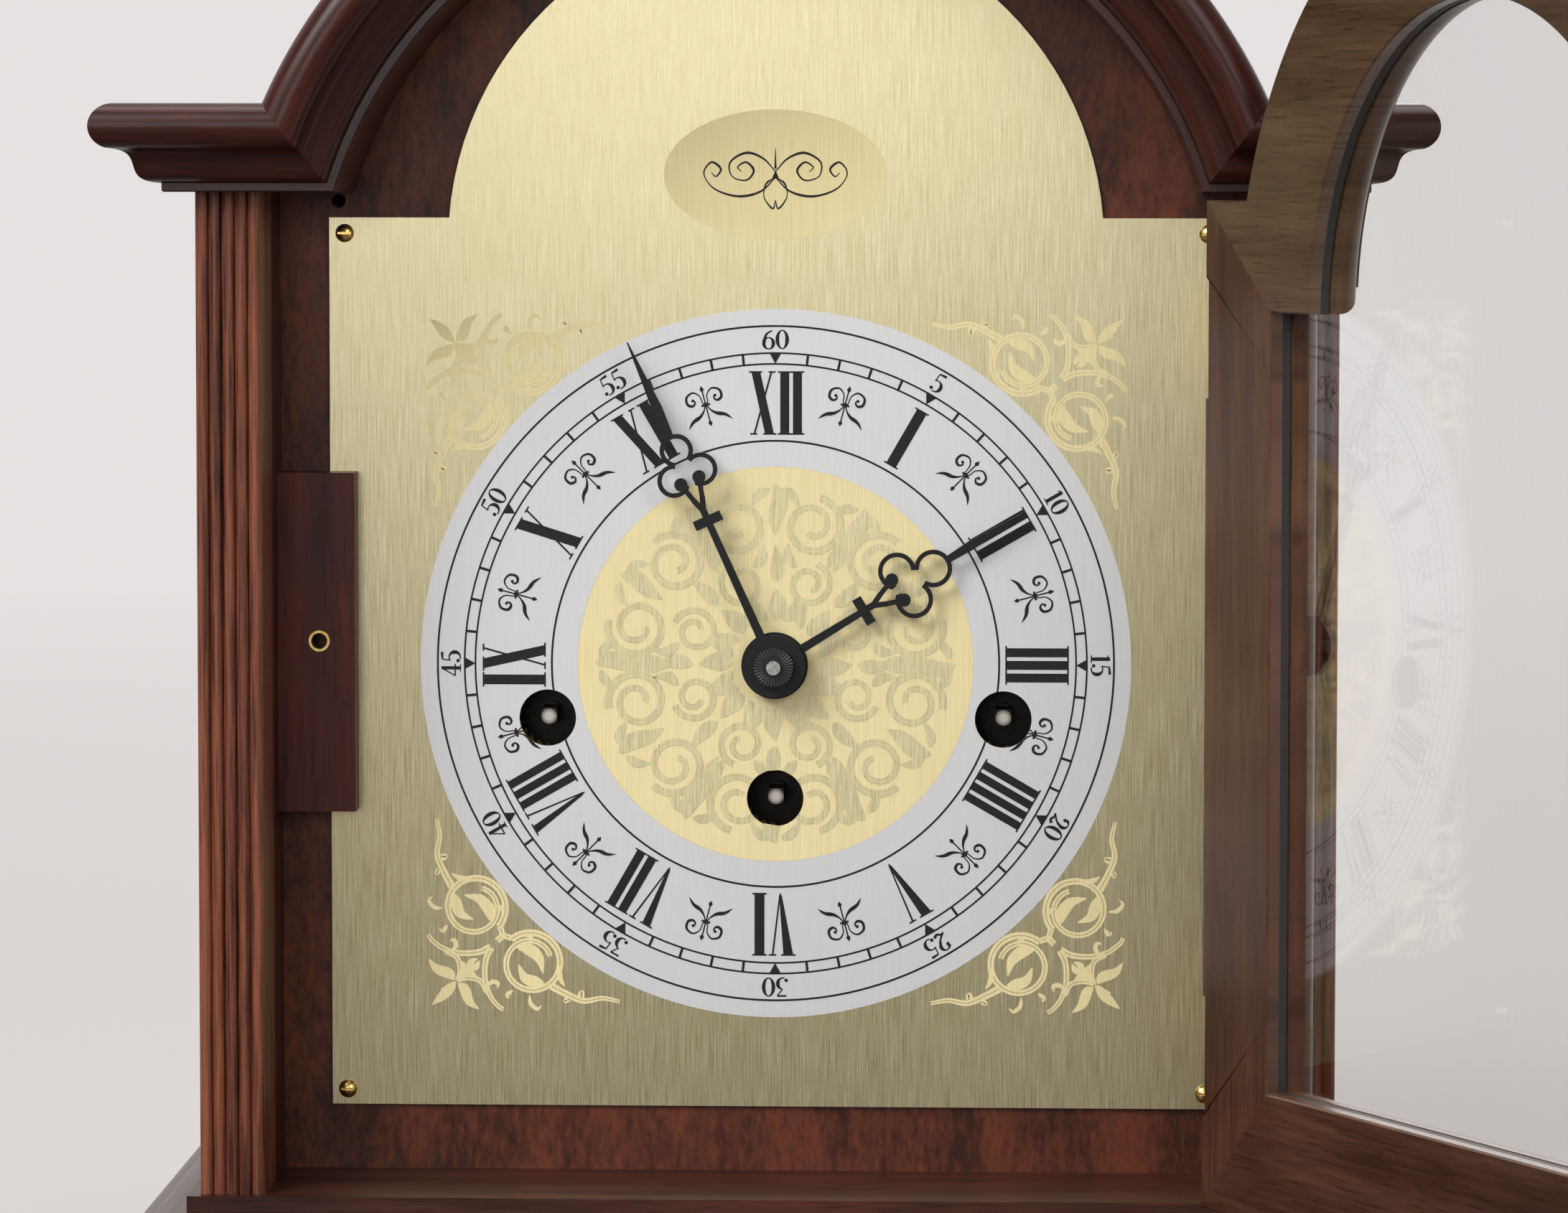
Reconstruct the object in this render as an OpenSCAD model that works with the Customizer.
// Break-arch table clock with its glazed front door swung open.
// X runs to the viewer's right, Y to the back, Z up. The origin is the middle of the underside.

/* [Case] */
// Width of the door opening between the pilasters
opening_w = 211; // [190:1:230]
// Width of a reeded pilaster and thickness of a side panel
pilaster_w = 13.6; // [10:0.2:18]
// Depth of a pilaster from front to back
pilaster_d = 20; // [18:0.5:26]
// Reeds on the front of a pilaster
reeds = 5; // [3:1:7]
// Depth of the case body without its mouldings
case_d = 150; // [140:1:180]
// Depth of the recess between the case front and the dial board
recess_d = 37.5; // [34:0.5:44]
// Inner radius of the arched moulding
arch_in_r = 93.5; // [88:0.5:97]
// Width of the arched moulding, seen from the front
arch_w = 19.3; // [17:0.1:22]
// Height of the arch centre above the dial centre
arch_rise = 73.5; // [70:0.5:78]
// Thickness of the bent roof
roof_t = 6; // [4:0.5:8]
// Thickness of the arched lining in front of the dial board
lining_t = 6.5; // [5:0.5:8]

/* [Mouldings] */
// Height of the cornice moulding
cornice_h = 18.3; // [17:0.1:20]
// Radius of the rounded nose of the mouldings
nose_r = 4.7; // [3.8:0.1:5]
// How far the middle of the nose stands out from the case
nose_reach = 14.7; // [13:0.1:17]
// Height of the base below the sill board
base_h = 27; // [25:0.5:34]
// Thickness of the sill's visible edge
sill_t = 3; // [2:0.5:5]
// How far the sill's edge stands out from the pilasters
sill_reach = 2.5; // [1:0.1:5]

/* [Dial] */
// Height of the dial plate's lower edge above the sill
plate_foot = 14; // [9:0.5:19]
// Space between the square part of the dial plate and the cornice
plate_head = 5.9; // [4:0.1:9]
// Thickness of the dial board
board_t = 9; // [6:0.5:12]
// Width of the brass dial plate
plate_w = 190; // [180:0.5:200]
// Height of the square part of the dial plate
plate_h = 190; // [184:0.5:196]
// Thickness of the dial plate
plate_t = 1; // [0.6:0.1:1.5]
// Radius of the plate's arch
plate_arch_r = 69.6; // [64:0.2:74]
// How far the arch centre lies below the top of the square part
plate_arch_drop = 5.4; // [3:0.2:8]
// Radius of a winding hole
wind_hole_r = 6.05; // [5:0.05:7]
// Sideways place of the outer winding holes
wind_x = 48.6; // [46:0.1:50]
// Drop of the outer winding holes below the dial centre
wind_drop = 11.6; // [10:0.1:13]
// Drop of the middle winding hole below the dial centre
wind_mid_drop = 28.65; // [27:0.05:30]
// Inset of a plate screw from the plate's edges
screw_inset = 3.3; // [2.6:0.1:5]
// Radius of a plate screw's head
screw_head_r = 1.95; // [1.5:0.05:2.4]

/* [Hands] */
// Length of the minute hand
minute_len = 75.5; // [60:0.5:78]
// Length of the hour hand
hour_len = 62.5; // [50:0.5:66]
// Thickness of a hand
hand_t = 0.8; // [0.5:0.1:1.2]
// Radius of the hands' round hubs
hub_r = 7.1; // [6:0.1:8]
// Angle of the minute hand from upright, anticlockwise
minute_angle = 24.4; // [0:0.1:360]
// Angle of the hour hand from upright, anticlockwise
hour_angle = -58.3; // [-360:0.1:360]

/* [Front door] */
// Thickness of the door frame
door_t = 15.5; // [14:0.5:18]
// Width of the stiles and the bottom rail
stile_w = 27.1; // [22:0.1:32]
// Gap round the door at its sides and foot
door_gap = 0.6; // [0.4:0.1:1]
// Gap between the door's arch and shoulders and the case
arch_gap = 1.4; // [0.8:0.1:2]
// Height of the glass opening's shoulders above the dial centre
sight_shoulder = 77.2; // [72:0.2:82]
// Radius of the glass opening's arch
sight_r = 62.6; // [58:0.2:66]
// Angle at which the door stands open
door_open = 117.7; // [0:0.1:118]
// Thickness of the glass
glass_t = 2; // [1.5:0.1:3]
// Thickness of the black glazing cord
seal_t = 1.8; // [1:0.1:2.5]
// Depth of the glass behind the frame's inner face, down to the cord
glass_set = 2.8; // [2:0.1:4]
// How far the moulded edge in front of the glass opens out
lip_w = 6; // [3:0.5:8]
// Height of a hinge
hinge_h = 25; // [20:0.5:32]
// Thickness of a hinge leaf
leaf_t = 1; // [0.6:0.1:1.4]
// Radius of a hinge knuckle
knuckle_r = 1.7; // [1.4:0.05:1.75]
// Radius of a hinge pin
pin_r = 0.8; // [0.5:0.05:1]

/* [Catch] */
// Width of the catch block beside the dial plate
catch_w = 16.4; // [14:0.1:20]
// Height of the catch block
catch_h = 72.2; // [50:0.2:90]
// Thickness of the catch block
catch_t = 8.5; // [7:0.1:10]
// Radius of the hole in the catch's brass ferrule
catch_hole_r = 1.7; // [1.5:0.05:2]
// Length of the door's catch pin inside the hole
catch_grip = 3; // [2:0.1:3.5]

/* [Movement] */
// Half width of the movement plates
move_half_w = 80; // [78:0.5:86]
// Gap between the two movement plates
move_gap = 36; // [35.5:0.5:40]
// Thickness of a movement plate
move_plate_t = 2; // [1.5:0.1:2.5]
// Space between the dial board and the movement
move_set = 10; // [9.5:0.5:12]
// Radius of a spring barrel
barrel_r = 22; // [18:0.2:23]
// Radius of a winding arbor
arbor_r = 2.2; // [1.8:0.1:2.6]
// Teeth of a barrel's great wheel
great_teeth = 84; // [72:12:96]
// Radius of a chime rod
rod_r = 1.5; // [1:0.1:2]
// Longest chime rod
rod_len = 146; // [120:1:150]
// Space left free inside the back door
back_clear = 3.5; // [2:0.5:5]

/* [Hidden] */
$fn = 96;

half_open = opening_w / 2;
half_case = half_open + pilaster_w;
opening_h = plate_foot + plate_h + plate_head;
arch_out_r = arch_in_r + arch_w;
nose_tip = nose_reach + nose_r;
front_y = nose_tip - (case_d + nose_tip) / 2;
back_y = front_y + case_d;
sill_z = base_h + sill_t;
dial_z = sill_z + plate_foot + plate_h / 2;
cornice_z = sill_z + opening_h;
cornice_top = cornice_z + cornice_h;
arch_z = dial_z + arch_rise;
lining_r = arch_in_r + lining_t;
roof_r = lining_r + roof_t;
board_y = front_y + recess_d;
plate_y = board_y - plate_t;
plate_top = dial_z + plate_h / 2;
// Clearance between parts that only lie beside each other
slip = 0.3;
// Radial clearance of a pin or arbor in its bore
run = 0.05;
// Longer than the clock in every direction
beyond = 400;

// Profile of the cornice as [reach, height], from the fillet up to the rounded nose
fillet_reach = 6;
fillet_h = 1.8;
neck_reach = nose_reach + nose_r * cos(-70);
neck_h = cornice_h - nose_r + nose_r * sin(-70);
function wave(t) = [fillet_reach + (neck_reach - fillet_reach) * (t + 0.11 * sin(360 * t)),
    fillet_h + (neck_h - fillet_h) * (t - 0.11 * sin(360 * t))];
nose = [for (a = [-60 : 10 : 90]) [nose_reach + nose_r * cos(a), cornice_h - nose_r + nose_r * sin(a)]];
cornice_profile = concat([[0, 0], [fillet_reach, 0]], [for (i = [0 : 10]) wave(i / 10)], nose,
    [[0, cornice_h]]);
// Profile of the base moulding as [reach, height]: the cornice turned over, on a square plinth
function turned(p) = [p[0], base_h + fillet_h - p[1]];
base_profile = concat([[-pilaster_w, base_h], [-pilaster_w, 0], [nose_reach, 0]],
    [for (i = [len(nose) - 1 : -1 : 0]) turned(nose[i])], [for (i = [10 : -1 : 0]) turned(wave(i / 10))]);

// A flat outline in X and Z, made solid between two places in Y
module slab(y0, y1) {
    translate([0, y1, 0])
        rotate([90, 0, 0])
            linear_extrude(y1 - y0) children();
}

// A round bar along Y
module bar(x, z, r, y0, y1) {
    translate([x, y1, z])
        rotate([90, 0, 0])
            cylinder(r = r, h = y1 - y0);
}

// A plan outline made solid through the height of the clock
module plan(points) {
    translate([0, 0, -1])
        linear_extrude(beyond) polygon(points);
}

// How far the plan outlines that cut the mitres reach out from the case
plan_reach = 30;

// A moulding profile carried along the front of the case, over the whole width
module front_run(profile, z) {
    translate([-half_case - plan_reach, front_y, z])
        rotate([90, 0, 90])
            linear_extrude(2 * (half_case + plan_reach)) polygon([for (p = profile) [-p[0], p[1]]]);
}

// A moulding profile carried along the right side, mitred at the front
module side_run(profile, z) {
    intersection() {
        slab(front_y - plan_reach, back_y)
            translate([half_case, z]) polygon(profile);
        plan([[half_case - pilaster_w, front_y + pilaster_w], [half_case, front_y],
            [half_case + plan_reach, front_y - plan_reach], [half_case + plan_reach, back_y],
            [half_case - pilaster_w, back_y]]);
    }
}

// The line where a straight ear meets the arched moulding
mitre_x0 = sqrt(pow(arch_in_r, 2) - pow(cornice_z - arch_z, 2));
mitre_x1 = sqrt(pow(arch_out_r, 2) - pow(cornice_top - arch_z, 2));
mitre_slope = (mitre_x1 - mitre_x0) / cornice_h;
function mitre_x(z) = mitre_x0 + (z - cornice_z) * mitre_slope;
mitre_apex = cornice_z - mitre_x0 / mitre_slope;
mitre_high = arch_z + arch_out_r + 20;

// Base: a thick board with a thin sill edge, and three mitred mouldings round it
module base_board() color("#3e2420") {
    translate([-half_open, front_y + pilaster_w, 0])
        cube([opening_w, case_d - pilaster_w, base_h]);
    translate([-half_case - sill_reach, front_y - sill_reach, base_h])
        cube([2 * (half_case + sill_reach), case_d + sill_reach, sill_t]);
}

module plinth_front() color("#4a2a24")
    intersection() {
        front_run(base_profile, 0);
        plan([[-half_open, front_y + pilaster_w], [half_open, front_y + pilaster_w],
            [half_case, front_y], [half_case + plan_reach, front_y - plan_reach],
            [-half_case - plan_reach, front_y - plan_reach], [-half_case, front_y]]);
    }

module plinth_right() color("#4a2a24") side_run(base_profile, 0);

module plinth_left() mirror([1, 0, 0]) plinth_right();

// Side panels and the reeded pilasters in front of them
module side_panel()
    translate([half_open, front_y + pilaster_d, sill_z])
        cube([pilaster_w, case_d - pilaster_d, opening_h]);

module side_right() color("#44261f") side_panel();

module side_left() color("#44261f")
    difference() {
        mirror([1, 0, 0]) side_panel();
        to_back() leaf_mortises(back_hinge_low, half_open, back_leaf_d);
    }

reed_pitch = pilaster_w / reeds;
module pilaster() color("#5a3128")
    translate([0, 0, sill_z])
        linear_extrude(opening_h)
            union() {
                translate([half_open, front_y + reed_pitch / 2])
                    square([pilaster_w, pilaster_d - reed_pitch / 2]);
                for (i = [0 : reeds - 1])
                    translate([half_open + (i + 0.5) * reed_pitch, front_y + reed_pitch / 2])
                        circle(d = reed_pitch);
            }

module pilaster_left() mirror([1, 0, 0]) pilaster();

// Places of the two front hinges, as heights of their lower ends
hinge_low = [dial_z - 77 - hinge_h / 2, dial_z + 71.5 - hinge_h / 2];
leaf_d = 14;
pivot_gap = 0.1;
pivot_x = half_open - door_gap / 3;
pivot_y = front_y - knuckle_r - pivot_gap;

// The beds cut into an upright for hinge leaves, from its face at x inwards
module leaf_mortises(lows, x, d)
    for (z = lows)
        translate([x, front_y - 1, z])
            cube([leaf_t, d + 1, hinge_h]);

module pilaster_right()
    difference() {
        pilaster();
        leaf_mortises(hinge_low, half_open, leaf_d);
    }

// Arch: the lining behind the arched moulding, the bent roof and the two shoulders
module ring(r0, r1) {
    difference() {
        translate([0, arch_z]) circle(r = r1);
        translate([0, arch_z]) circle(r = r0);
        translate([-beyond / 2, cornice_z - beyond]) square(beyond);
    }
}

module arch_frame() color("#4a2a24")
    slab(front_y, board_y) ring(arch_in_r, lining_r);

module roof_arch() color("#3e2420")
    slab(front_y, back_y) ring(lining_r, roof_r);

module shoulder_right() color("#3e2420")
    slab(front_y, back_y)
        difference() {
            translate([arch_in_r - 20, cornice_z])
                square([half_case - arch_in_r + 20, cornice_h]);
            translate([0, arch_z]) circle(r = roof_r);
        }

module shoulder_left() mirror([1, 0, 0]) shoulder_right();

// Cornice: straight ears and side returns, and the arched moulding between the ears
module ear_right() color("#4c2622")
    intersection() {
        front_run(cornice_profile, cornice_z);
        slab(front_y - plan_reach, front_y)
            polygon([[mitre_x(cornice_z - 2), cornice_z - 2], [mitre_x(cornice_top + 2), cornice_top + 2],
                [half_case + plan_reach, cornice_top + 2], [half_case + plan_reach, cornice_z - 2]]);
        plan([[0, front_y], [half_case, front_y], [half_case + plan_reach, front_y - plan_reach],
            [0, front_y - plan_reach]]);
    }

module ear_left() mirror([1, 0, 0]) ear_right();

module cornice_right() color("#4c2622") side_run(cornice_profile, cornice_z);

module cornice_left() mirror([1, 0, 0]) cornice_right();

module arch_moulding() color("#4c2622")
    intersection() {
        translate([0, front_y, arch_z])
            rotate([90, 0, 0])
                rotate_extrude($fn = 180)
                    polygon([for (p = cornice_profile)
                        [arch_in_r + p[1] * arch_w / cornice_h, p[0]]]);
        slab(front_y - plan_reach, front_y)
            polygon([[0, mitre_apex], [mitre_x(mitre_high), mitre_high], [-mitre_x(mitre_high), mitre_high]]);
    }

// Dial: a board behind the recess with a window for the movement, and the brass plate on it
window_w = 2 * (wind_x + 12);
window_low = wind_mid_drop + 12;
window_top = 26;
screw_r = 1.1;
peg_hole_r = 1.5;
peg_hole_at = [-93.1, dial_z + 98.5];
module screw_places()
    for (x = [-1, 1], z = [-1, 1])
        translate([x * (plate_w / 2 - screw_inset), dial_z + z * (plate_h / 2 - screw_inset)]) children();

pillar_x = move_half_w - 6;
pillar_low = dial_z - 48;
pillar_top = dial_z + 45;
stud_r = 2;
module pillar_places()
    for (x = [-pillar_x, pillar_x], z = [pillar_low, pillar_top])
        translate([x, z]) children();

module dial_board() color("#452a22")
    slab(board_y, board_y + board_t)
        difference() {
            union() {
                translate([-half_open, sill_z]) square([opening_w, opening_h]);
                intersection() {
                    translate([0, arch_z]) circle(r = lining_r);
                    translate([-half_open, cornice_z]) square([opening_w, beyond]);
                }
            }
            translate([-window_w / 2, dial_z - window_low]) square([window_w, window_low + window_top]);
            screw_places() circle(r = screw_r + run);
            pillar_places() circle(r = stud_r + run);
            translate(peg_hole_at) circle(r = peg_hole_r);
        }

centre_hole_r = 5;
wind_places = [[wind_x, -wind_drop], [-wind_x, -wind_drop], [0, -wind_mid_drop]];
module dial_plate() color("#d6c898")
    slab(plate_y, board_y)
        difference() {
            union() {
                translate([-plate_w / 2, dial_z - plate_h / 2]) square([plate_w, plate_h]);
                translate([0, plate_top - plate_arch_drop]) circle(r = plate_arch_r);
            }
            translate([0, dial_z]) circle(r = centre_hole_r);
            for (p = wind_places)
                translate([p[0], dial_z + p[1]]) circle(r = wind_hole_r);
            screw_places() circle(r = screw_r + run);
        }

// Slotted round-head screws that hold the plate to the board
screw_head_h = 1.3;
dome_r = screw_head_r * 1.2;
slot_w = 0.5;
module plate_screws() color("#c9a24a")
    for (x = [-1, 1], z = [-1, 1])
        translate([x * (plate_w / 2 - screw_inset), plate_y, dial_z + z * (plate_h / 2 - screw_inset)])
            rotate([90, 0, 0])
                difference() {
                    union() {
                        rotate_extrude()
                            intersection() {
                                translate([0, screw_head_h - dome_r]) circle(r = dome_r);
                                square([screw_head_r, screw_head_h]);
                            }
                        translate([0, 0, -plate_t - board_t + 1])
                            cylinder(r = screw_r, h = plate_t + board_t - 1);
                    }
                    translate([-screw_head_r, -slot_w / 2, screw_head_h - slot_w])
                        cube([2 * screw_head_r, slot_w, 2]);
                }

// Catch: a block against the left reveal with a brass ferrule that takes the door's pin
catch_x = -half_open + 8.8;
catch_z = dial_z + 5.2;
catch_low = dial_z - 31.2;
ferrule_r = 2.25;
plate_bite = catch_w - (half_open - plate_w / 2);
module catch_block() color("#4c2620")
    difference() {
        slab(board_y - catch_t, board_y)
            difference() {
                translate([-half_open, catch_low]) square([catch_w, catch_h]);
                translate([catch_x, catch_z]) circle(r = ferrule_r);
            }
        translate([-half_open + catch_w - plate_bite - slip, plate_y - slip, catch_low - 1])
            cube([plate_bite + 2, plate_t + 2, catch_h + 2]);
    }

module catch_ferrule() color("#c9a24a")
    slab(board_y - catch_t, board_y - catch_t + catch_grip + 2)
        translate([catch_x, catch_z])
            difference() {
                circle(r = ferrule_r);
                circle(r = catch_hole_r);
            }

// Front door, drawn shut and then swung open about its hinge line
module open_door() {
    translate([pivot_x, pivot_y, 0])
        rotate([0, 0, door_open])
            translate([-pivot_x, -pivot_y, 0]) children();
}

door_half = half_open - door_gap;
door_low = sill_z + door_gap;
door_top = cornice_z - arch_gap;
door_r = arch_in_r - arch_gap;
door_in = front_y + door_t;
sight_half = door_half - stile_w;
sight_low = door_low + stile_w;
sight_z = dial_z + sight_shoulder;
groove_d = 3;
glass_in = door_in - glass_set - seal_t;
glass_out = glass_in - glass_t;

module door_outline() {
    translate([-door_half, door_low]) square([2 * door_half, door_top - door_low]);
    translate([0, arch_z])
        difference() {
            circle(r = door_r);
            translate([-door_r, -2 * door_r]) square([2 * door_r, 2 * door_r]);
        }
}

// The glass opening, made larger all round by grow
module sight(grow) {
    translate([-sight_half - grow, sight_low - grow])
        square([2 * (sight_half + grow), sight_z - sight_low + 2 * grow]);
    translate([0, sight_z]) circle(r = sight_r + grow);
}

// The opening through the frame: groove for the glass and the moulded edge in front of it
lip_steps = 6;
lip_d = glass_out - front_y - 1.5;
module door_cut() {
    slab(front_y - 1, door_in + 1) sight(0);
    slab(glass_out, door_in - glass_set) sight(groove_d);
    for (i = [1 : lip_steps])
        slab(front_y - 1, front_y + lip_d * i / lip_steps)
            sight(lip_w * (1 - sin(90 * i / (lip_steps + 1))));
}

stile_points = [[door_half, door_low], [door_half, door_top], [sight_half, sight_z],
    [sight_half, sight_low]];
rail_points = [[-door_half, door_low], [door_half, door_low], [sight_half, sight_low],
    [-sight_half, sight_low]];

module stile() {
    difference() {
        slab(front_y, door_in) polygon(stile_points);
        door_cut();
    }
}

module door_hinge_stile() color("#4e2b24")
    open_door()
        difference() {
            stile();
            leaf_mortises(hinge_low, door_half - leaf_t, door_t + 1);
        }

// The latch stile's edge is planed back towards the inside, so that the door swings clear of the case
knob_x = catch_x;
catch_pin_r = 1;
edge_bevel = 0.6;
module door_latch_stile() color("#4e2b24")
    open_door()
        difference() {
            mirror([1, 0, 0]) stile();
            bar(knob_x, catch_z, catch_pin_r + run, front_y - 1, door_in + 1);
            plan([[-door_half - 1, front_y + 1], [-door_half, front_y + 1],
                [-door_half + edge_bevel, door_in + 0.01], [-door_half - 1, door_in + 0.01]]);
        }

module door_bottom_rail() color("#4e2b24")
    open_door()
        difference() {
            slab(front_y, door_in) polygon(rail_points);
            door_cut();
        }

module door_arch_rail() color("#4e2b24")
    open_door()
        difference() {
            slab(front_y, door_in)
                difference() {
                    door_outline();
                    sight(0);
                    polygon(stile_points);
                    mirror([1, 0]) polygon(stile_points);
                    polygon(rail_points);
                }
            door_cut();
        }

glass_grow = groove_d - 0.4;
module door_glass() color("#dfe8e8", 0.35)
    open_door() slab(glass_out, glass_in) sight(glass_grow);

module glazing_cord() color("#1a1614")
    open_door()
        slab(glass_in, glass_in + seal_t)
            difference() {
                sight(glass_grow);
                sight(0);
            }

// Turned knob whose stem runs through the stile and ends as the catch pin
knob_r = 5;
knob_reach = 12;
module door_knob() color("#c9a24a")
    open_door() {
        translate([knob_x, front_y, catch_z])
            rotate([90, 0, 0])
                rotate_extrude()
                    polygon([[0, 0], [4, 0], [4, 1], [2.2, 1.8], [2, 4.5], [3.4, 6], [knob_r, 8],
                        [knob_r, 9.6], [3.6, 11.4], [1.6, knob_reach], [0, knob_reach]]);
        bar(knob_x, catch_z, catch_pin_r, front_y, board_y - catch_t + catch_grip);
    }

// Butt hinges: the case's knuckles are the outer two thirds, the door's is the middle third
knuckle_gap = 0.2;
module leaf(side, low, wide_y) {
    x = side > 0 ? half_open : door_half - leaf_t;
    first = side > 0 ? 0 : 1;
    third = hinge_h / 3;
    difference() {
        union() {
            translate([x, front_y + slip, low]) cube([leaf_t, wide_y - slip, hinge_h]);
            for (k = [first : 2 : 2])
                translate([0, 0, low + k * third + (k > 0 ? knuckle_gap / 2 : 0)]) {
                    h = third - (k == 1 ? knuckle_gap : knuckle_gap / 2);
                    translate([pivot_x, pivot_y, 0]) cylinder(r = knuckle_r, h = h);
                    translate([x, pivot_y, 0]) cube([leaf_t, front_y + slip - pivot_y, h]);
                }
        }
        translate([pivot_x, pivot_y, low - 1]) cylinder(r = pin_r + run, h = hinge_h + 2);
    }
}

// The small back hinges are the same hinge turned half round and set on the left of the back
back_hinge_inset = 25;
back_hinge_low = [door_low + back_hinge_inset, cornice_z - back_hinge_inset - hinge_h];
back_door_t = 8;
back_leaf_d = 7;
module to_back()
    translate([0, back_y + front_y, 0]) rotate([0, 0, 180]) children();

module hinge_case_leaves() color("#c9a24a") {
    for (z = hinge_low) leaf(1, z, leaf_d);
    to_back() for (z = back_hinge_low) leaf(1, z, back_leaf_d);
}

module hinge_door_leaves() color("#c9a24a")
    open_door() for (z = hinge_low) leaf(-1, z, leaf_d);

module hinge_pins() color("#b8923e") {
    for (z = hinge_low)
        translate([pivot_x, pivot_y, z]) cylinder(r = pin_r, h = hinge_h);
    to_back()
        for (z = back_hinge_low)
            translate([pivot_x, pivot_y, z]) cylinder(r = pin_r, h = hinge_h);
}

// Back door: an arched panel set into the back of the case
module back_outline(less) {
    translate([-door_half + less, door_low + less])
        square([2 * (door_half - less), cornice_z - door_gap - door_low - 2 * less]);
    translate([0, arch_z])
        difference() {
            circle(r = lining_r - door_gap - less);
            translate([-beyond / 2, -beyond]) square(beyond);
        }
}

back_rail = 24;
module back_door() color("#4a3026")
    difference() {
        slab(back_y - back_door_t, back_y) back_outline(0);
        slab(back_y - 2, back_y + 1) back_outline(back_rail);
        to_back() leaf_mortises(back_hinge_low, door_half - leaf_t, back_door_t + 1);
    }

module back_hinge_leaves() color("#c9a24a")
    to_back() for (z = back_hinge_low) leaf(-1, z, back_leaf_d);

module back_door_knob() color("#c9a24a")
    translate([door_half - back_rail / 2, back_y, dial_z])
        rotate([-90, 0, 0])
            rotate_extrude()
                polygon([[0, 0], [3, 0], [2, 1.5], [2, 3], [knob_r - 0.5, 5], [knob_r - 0.5, 6.5],
                    [2.5, 8], [0, 8]]);

// Movement plates, their pillars and the studs that carry them on the dial board
front_plate_y = board_y + board_t + move_set;
gap_y = front_plate_y + move_plate_t;
back_plate_y = gap_y + move_gap;
move_back = back_plate_y + move_plate_t;
plate_low = dial_z - 54;
plate_high = dial_z + 52;

module plate_outline(stud)
    difference() {
        translate([-move_half_w, plate_low]) square([2 * move_half_w, plate_high - plate_low]);
        for (p = wind_places)
            translate([p[0], dial_z + p[1]]) circle(r = arbor_r + run);
        translate([0, dial_z]) circle(r = centre_r + run);
        translate(third_at) circle(r = pivot_r + run);
        translate(balance_at) circle(r = pivot_r + run);
        pillar_places() circle(r = stud + run);
    }

module movement_front_plate() color("#c2a05a") {
    slab(front_plate_y, gap_y) plate_outline(stud_r);
    bar(motion_at[0], dial_z + motion_at[1], pivot_r, hour_wheel_y - 1.4, gap_y);
}

drum_arbor_r = 1.5;
module movement_back_plate() color("#c2a05a")
    slab(back_plate_y, move_back)
        difference() {
            plate_outline(stud_r);
            translate(drum_at) circle(r = drum_arbor_r + run);
        }

module movement_pillars() color("#b8b4aa")
    for (x = [-pillar_x, pillar_x], z = [pillar_low, pillar_top]) {
        bar(x, z, 3.5, gap_y, back_plate_y);
        bar(x, z, 3.5, board_y + board_t, front_plate_y);
        bar(x, z, stud_r, board_y + 1, move_back + 2);
        bar(x, z, 3.4, move_back, move_back + 2);
    }

// Toothed wheel lying in the X and Z plane, with one tooth at the angle given by turn
module teeth(n, m, turn) {
    pitch = 360 / n;
    r = n * m / 2;
    flank = [[-0.3, -1.15], [-0.19, 0], [-0.08, 0.85], [0.08, 0.85], [0.19, 0], [0.3, -1.15]];
    polygon([for (i = [0 : n - 1], q = flank)
        (r + q[1] * m) * [cos(turn + (i + q[0]) * pitch), sin(turn + (i + q[0]) * pitch)]]);
}

// Centre arbor: turns once an hour and carries the centre wheel, cannon pinion and minute hand
centre_r = 1.5;
pivot_r = 0.8;
cannon_r = 2.6;
great_m = wind_mid_drop * 2 / (great_teeth + 12);
centre_teeth = 84;
centre_wheel_t = 3.2;
third_pinion = 14;
third_reach = 24;
third_turn = 110;
centre_m = third_reach * 2 / (centre_teeth + third_pinion);
third_at = [third_reach * cos(third_turn), dial_z + third_reach * sin(third_turn)];
barrel_y = gap_y + 1.5;
great_y = barrel_y + 27.3;
great_t = 2.5;
centre_y = great_y + great_t + 0.8;
hour_hand_y = plate_y - 3.5;
minute_hand_y = hour_hand_y - 2.5;
motion_reach = 27;
motion_turn = 135;
motion_at = motion_reach * [cos(motion_turn), sin(motion_turn)];
cannon_m = motion_reach * 2 / 48;
hour_m = motion_reach * 2 / 50;
motion_y = front_plate_y - 4;
minute_wheel_t = 3.4;
hour_wheel_y = motion_y - 3.6;
hour_wheel_t = 2.8;

module centre_arbor() color("#b9b6ae") {
    bar(0, dial_z, centre_r, minute_hand_y - 4.2, move_back + 1);
    slab(centre_y, centre_y + centre_wheel_t)
        translate([0, dial_z]) teeth(centre_teeth, centre_m, third_turn);
    slab(great_y - slip, great_y + great_t + slip)
        translate([0, dial_z]) teeth(12, great_m, -90 + 180 / 12);
    slab(motion_y - 0.4, motion_y + minute_wheel_t + 0.2)
        translate([0, dial_z]) teeth(12, cannon_m, motion_turn);
    bar(0, dial_z, cannon_r, minute_hand_y + hand_t, motion_y - 0.4);
}

module minute_wheel() color("#c2a05a")
    difference() {
        union() {
            slab(motion_y, motion_y + minute_wheel_t)
                translate([motion_at[0], dial_z + motion_at[1]])
                    teeth(36, cannon_m, motion_turn + 180 + 5);
            slab(hour_wheel_y - 0.4, motion_y)
                translate([motion_at[0], dial_z + motion_at[1]])
                    teeth(10, hour_m, motion_turn + 180);
        }
        bar(motion_at[0], dial_z + motion_at[1], pivot_r + run, hour_wheel_y - 2, motion_y + minute_wheel_t + 1);
    }

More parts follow.
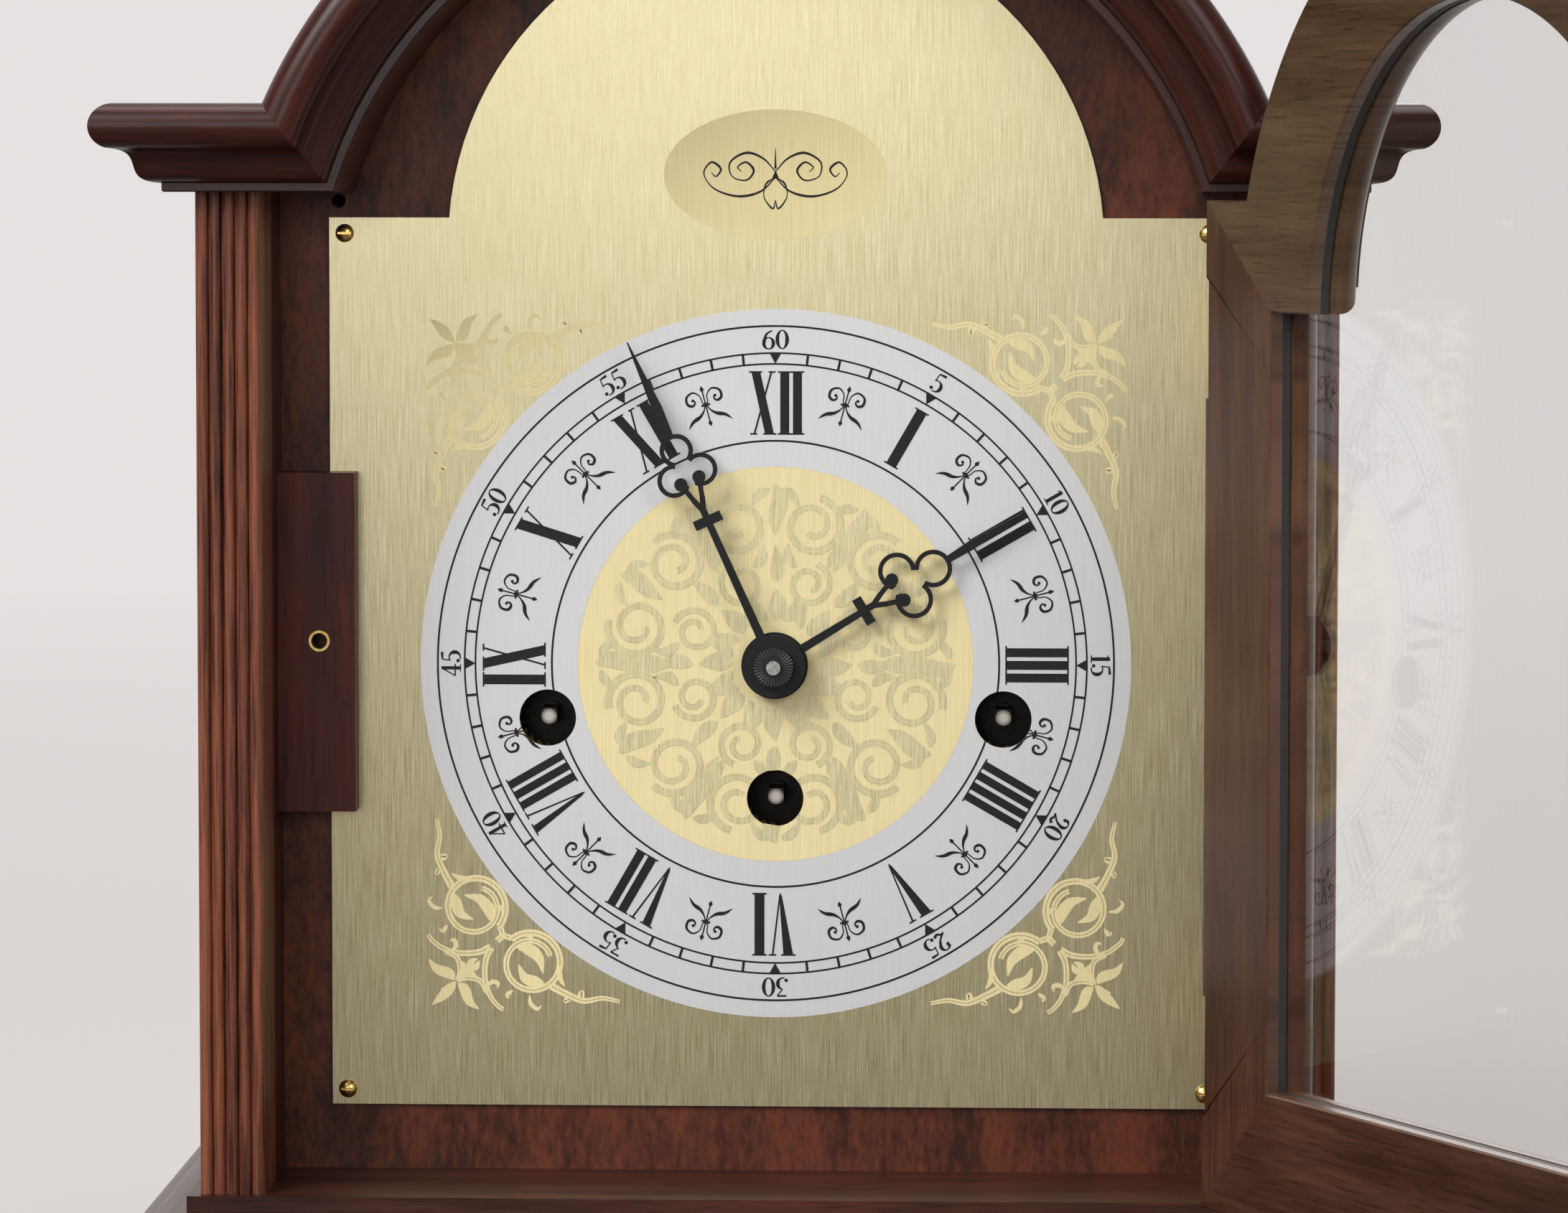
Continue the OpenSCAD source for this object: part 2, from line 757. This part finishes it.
hour_pipe_r = 3.6;
module hour_wheel() color("#c2a05a")
    difference() {
        union() {
            slab(hour_wheel_y, hour_wheel_y + hour_wheel_t)
                translate([0, dial_z]) teeth(40, hour_m, motion_turn + 4.5);
            bar(0, dial_z, hour_pipe_r, hour_hand_y + hand_t, hour_wheel_y);
        }
        bar(0, dial_z, cannon_r + run, hour_hand_y - 1, hour_wheel_y + hour_wheel_t + 1);
    }

// Serpentine hands, drawn pointing up at the origin
stem_low_w = 2;
stem_top_w = 1.45;
cross_w = 6.2;
cross_t = 2.1;
rim_w = 0.95;
bead_r = 1.4;

// One limb of constant width between two points
module limb(a, b, w) {
    d = (b - a) / norm(b - a);
    n = [-d[1], d[0]] * w / 2;
    polygon([a + n, b + n, b - n, a - n]);
}

// The sheet that a hand is cut from
module sheet() linear_extrude(hand_t) children();

// The three round lobes above the fork: one on the axis at the height top, and two at side
module lobes(top, side, r, t)
    for (p = [[0, top], side, [-side[0], side[1]]])
        translate([p[0], p[1], (hand_t - t) / 2]) cylinder(r = r, h = t, $fn = 48);

// cross is the height of the crossbar and bead the place of the right bead of the fork
module hand(length, cross, bead, top, side, lobe_r, blade_w) {
    split = [0, cross + 2.6];
    bend = [bead[0] * 0.5, split[1] + (bead[1] - split[1]) * 0.4];
    root = top + lobe_r - rim_w / 2;
    widest = root + (length - root) * 0.3;
    sheet()
        polygon([[-stem_low_w / 2, 0], [-stem_top_w / 2, cross], [-stem_top_w / 2, split[1]],
            [stem_top_w / 2, split[1]], [stem_top_w / 2, cross], [stem_low_w / 2, 0]]);
    sheet() translate([-cross_w / 2, cross - cross_t / 2]) square([cross_w, cross_t]);
    difference() {
        lobes(top, side, lobe_r, hand_t);
        lobes(top, side, lobe_r - rim_w, hand_t + 1);
        translate([0, 0, -1])
            linear_extrude(hand_t + 2) {
                polygon([side, [0, top], [-side[0], side[1]]]);
                polygon([[0, split[1] + 1.5], [0.9, bead[1]], [0.9, side[1] + 0.1],
                    [-0.9, side[1] + 0.1], [-0.9, bead[1]]]);
            }
    }
    for (s = [-1, 1]) {
        sheet() limb([0, split[1] - 0.4], [s * bend[0], bend[1]], 1.15);
        sheet() limb([s * bend[0] * 0.9, bend[1] - 0.3], [s * bead[0], bead[1]], 1.05);
        translate([s * bead[0], bead[1], 0]) cylinder(r = bead_r, h = hand_t, $fn = 48);
    }
    sheet()
        polygon([[-0.75, root], [-blade_w / 2, widest], [-0.12, length], [0.12, length],
            [blade_w / 2, widest], [0.75, root]]);
}

// A hand on its round hub, at its place on the dial and turned to its hour
module hand_at(y, turn, hub, hole)
    translate([0, y + hand_t, dial_z])
        rotate([90, 0, 0])
            rotate([0, 0, turn])
                difference() {
                    union() {
                        cylinder(r = hub, h = hand_t);
                        children();
                    }
                    translate([0, 0, -1]) cylinder(r = hole, h = hand_t + 2);
                }

press = 0.02;
module minute_hand() color("#1c1b1d")
    hand_at(minute_hand_y, minute_angle, hub_r - 0.5, centre_r + press)
        hand(minute_len, 34, [2.1, 43.3], 50.3, [3.1, 44.6], 3.55, 2.2);

module hour_hand() color("#1c1b1d")
    hand_at(hour_hand_y, hour_angle, hub_r, cannon_r + run)
        hand(hour_len, 22.3, [2.5, 30.8], 39.6, [3.5, 32.7], 4, 2);

nut_r = 4.2;
module hand_nut() color("#232225")
    difference() {
        slab(minute_hand_y - 2.4, minute_hand_y)
            translate([0, dial_z])
                union() {
                    circle(r = nut_r - 0.25);
                    for (a = [0 : 12 : 348])
                        rotate(a) translate([nut_r - 0.3, 0]) circle(d = 0.7, $fn = 16);
                }
        bar(0, dial_z, centre_r + press, minute_hand_y - 3, minute_hand_y + 1);
    }

// Spring barrels with their great wheels, and the winding arbors through them
module barrel(at, turn)
    difference() {
        union() {
            bar(at[0], dial_z + at[1], barrel_r, barrel_y, great_y - 0.8);
            bar(at[0], dial_z + at[1], barrel_r - 6, great_y - 0.8, great_y);
            slab(great_y, great_y + great_t)
                translate([at[0], dial_z + at[1]]) teeth(great_teeth, great_m, turn);
        }
        bar(at[0], dial_z + at[1], arbor_r + run, barrel_y - 1, great_y + great_t + 1);
    }

module chime_barrel() color("#c2a05a") barrel(wind_places[0], drum_turn);
module strike_barrel() color("#c2a05a") barrel(wind_places[1], 0);
module time_barrel() color("#c2a05a") barrel(wind_places[2], 90);

ratchet_teeth = 24;
ratchet_r = 8;
square_w = 3.4;
module winder(at)
    translate([at[0], 0, dial_z + at[1]]) {
        bar(0, 0, arbor_r, front_plate_y - 6, move_back + 1);
        slab(front_plate_y - 3.5, front_plate_y - 1.5)
            polygon([for (i = [0 : ratchet_teeth - 1], q = [[0, 1], [0.12, 0.86]])
                ratchet_r * q[1] * [cos((i + q[0]) * 360 / ratchet_teeth), sin((i + q[0]) * 360 / ratchet_teeth)]]);
        slab(plate_y + 5, front_plate_y - 6)
            square(square_w, center = true);
        bar(0, 0, square_w / 2, plate_y + 3.8, plate_y + 5);
    }

module chime_arbor() color("#c9c9c9") winder(wind_places[0]);
module strike_arbor() color("#c9c9c9") winder(wind_places[1]);
module time_arbor() color("#c9c9c9") winder(wind_places[2]);

// Third wheel with its pinion, driven by the centre wheel, and the balance that beats time beside it
third_r = 21.5;
third_t = 4;
third_y = gap_y + 24;
module third_wheel() color("#c2a05a") {
    bar(third_at[0], third_at[1], pivot_r, front_plate_y, move_back);
    slab(centre_y - 0.5, centre_y + centre_wheel_t + 0.3)
        translate(third_at) teeth(third_pinion, centre_m, third_turn + 180 + 180 / third_pinion);
    slab(third_y, third_y + third_t)
        translate(third_at) teeth(96, third_r * 2 / 98, 0);
}

balance_r = 12.5;
balance_at = [14, dial_z + 37];
balance_y = gap_y + 17;
module balance_wheel() color("#c9b06a") {
    bar(balance_at[0], balance_at[1], pivot_r, front_plate_y, move_back);
    slab(balance_y, balance_y + 1.8)
        translate(balance_at)
            union() {
                difference() {
                    circle(r = balance_r);
                    circle(r = balance_r - 1.6);
                }
                for (a = [0, 120, 240])
                    rotate(a) translate([0, -0.8]) square([balance_r - 1, 1.6]);
                circle(r = 2.2);
            }
}

// Chime drum driven by the chime barrel, and the hammers that it lifts
drum_pinion = 16;
drum_reach = great_m * (great_teeth + drum_pinion) / 2;
drum_dx = 23.4;
drum_dz = -sqrt(pow(drum_reach, 2) - pow(drum_dx, 2));
drum_turn = atan2(drum_dz, drum_dx);
drum_at = [wind_x + drum_dx, dial_z - wind_drop + drum_dz];
drum_r = 11;
drum_pin = 1.2;
hammers = 4;
first_hammer = 9;
behind_hammers = 7;
bracket_t = 1.5;
arbor_end = 0.5;
hammer_room = back_y - back_door_t - back_clear - arbor_end - bracket_t - move_back;
hammer_pitch = (hammer_room - first_hammer - behind_hammers) / (hammers - 1);
function hammer_y(i) = move_back + first_hammer + i * hammer_pitch;
bracket_y = hammer_y(hammers - 1) + behind_hammers;
module chime_drum() color("#c2a05a") {
    bar(drum_at[0], drum_at[1], drum_arbor_r, great_y - 3, bracket_y + bracket_t + arbor_end);
    slab(great_y - slip, great_y + great_t + slip)
        translate(drum_at) teeth(drum_pinion, great_m, drum_turn + 180 + 180 / drum_pinion);
    bar(drum_at[0], drum_at[1], drum_r, move_back + 4, bracket_y - 2);
    for (i = [0 : hammers - 1], k = [0 : 4])
        translate([drum_at[0], hammer_y(i), drum_at[1]])
            rotate([0, 72 * k + 24 * i, 0])
                cylinder(r = 0.6, h = drum_r + drum_pin, $fn = 24);
}

hammer_at = [50, dial_z - 44];
hammer_arbor_r = 1.5;
rod_z = sill_z + 16;
head_x = 18;
head_low = rod_z + rod_r + 1.7;
head_h = 12;
head_r = hammer_pitch * 0.4;
hub_half = hammer_pitch / 4;
post_r = 2;
post_places = [[move_half_w - post_r, dial_z - 15], [62, dial_z - 51]];
bracket_x = [44, 82];
bracket_low = dial_z - 57;
bracket_h = 46;
module hammer_bracket() color("#b9b6ae") {
    slab(bracket_y, bracket_y + bracket_t)
        difference() {
            translate([bracket_x[0], bracket_low]) square([bracket_x[1] - bracket_x[0], bracket_h]);
            translate(drum_at) circle(r = drum_arbor_r + run);
        }
    for (p = post_places)
        bar(p[0], p[1], post_r, move_back, bracket_y);
    bar(hammer_at[0], hammer_at[1], hammer_arbor_r, move_back, bracket_y);
}

// A sprung arm on the common arbor, with a tail towards the drum and a weighted head
module hammer(i)
    translate([0, hammer_y(i), 0])
        difference() {
            union() {
                bar(hammer_at[0], hammer_at[1], 3.2, -hub_half, hub_half);
                slab(-1, 1)
                    union() {
                        limb(hammer_at, [head_x, head_low + head_h - 3], 2.4);
                        limb(hammer_at, hammer_at + [9.6, 7.8], 2);
                    }
                translate([head_x, 0, head_low]) cylinder(r = head_r, h = head_h);
            }
            bar(hammer_at[0], hammer_at[1], hammer_arbor_r + run, -4, 4);
        }

module hammer_1() color("#a89c88") hammer(0);
module hammer_2() color("#a89c88") hammer(1);
module hammer_3() color("#a89c88") hammer(2);
module hammer_4() color("#a89c88") hammer(3);

// Gong block on the base board, with a row of chime rods screwed into it
block_w = 16;
block_x = -half_open + 6;
block_h = 26;
module gong_block() color("#4a4a4c")
    difference() {
        translate([block_x, hammer_y(0) - 5, sill_z])
            cube([block_w, hammer_pitch * (hammers - 1) + 10, block_h]);
        for (i = [0 : hammers - 1])
            translate([block_x + block_w / 2, hammer_y(i), rod_z])
                rotate([0, 90, 0]) cylinder(r = rod_r, h = block_w);
    }

module gong_rods() color("#8f8a80")
    for (i = [0 : hammers - 1])
        translate([block_x + block_w / 2, hammer_y(i), rod_z])
            rotate([0, 90, 0]) cylinder(r = rod_r, h = rod_len - 8 * i);

base_board();
plinth_front();
plinth_left();
plinth_right();
side_left();
side_right();
pilaster_left();
pilaster_right();
arch_frame();
shoulder_left();
shoulder_right();
roof_arch();
ear_left();
ear_right();
cornice_left();
cornice_right();
arch_moulding();
dial_board();
dial_plate();
plate_screws();
catch_block();
catch_ferrule();
door_hinge_stile();
door_latch_stile();
door_bottom_rail();
door_arch_rail();
door_glass();
glazing_cord();
door_knob();
hinge_case_leaves();
hinge_door_leaves();
hinge_pins();
back_door();
back_hinge_leaves();
back_door_knob();
movement_front_plate();
movement_back_plate();
movement_pillars();
centre_arbor();
hour_wheel();
minute_wheel();
hour_hand();
minute_hand();
hand_nut();
time_barrel();
strike_barrel();
chime_barrel();
time_arbor();
strike_arbor();
chime_arbor();
third_wheel();
balance_wheel();
chime_drum();
hammer_bracket();
hammer_1();
hammer_2();
hammer_3();
hammer_4();
gong_block();
gong_rods();
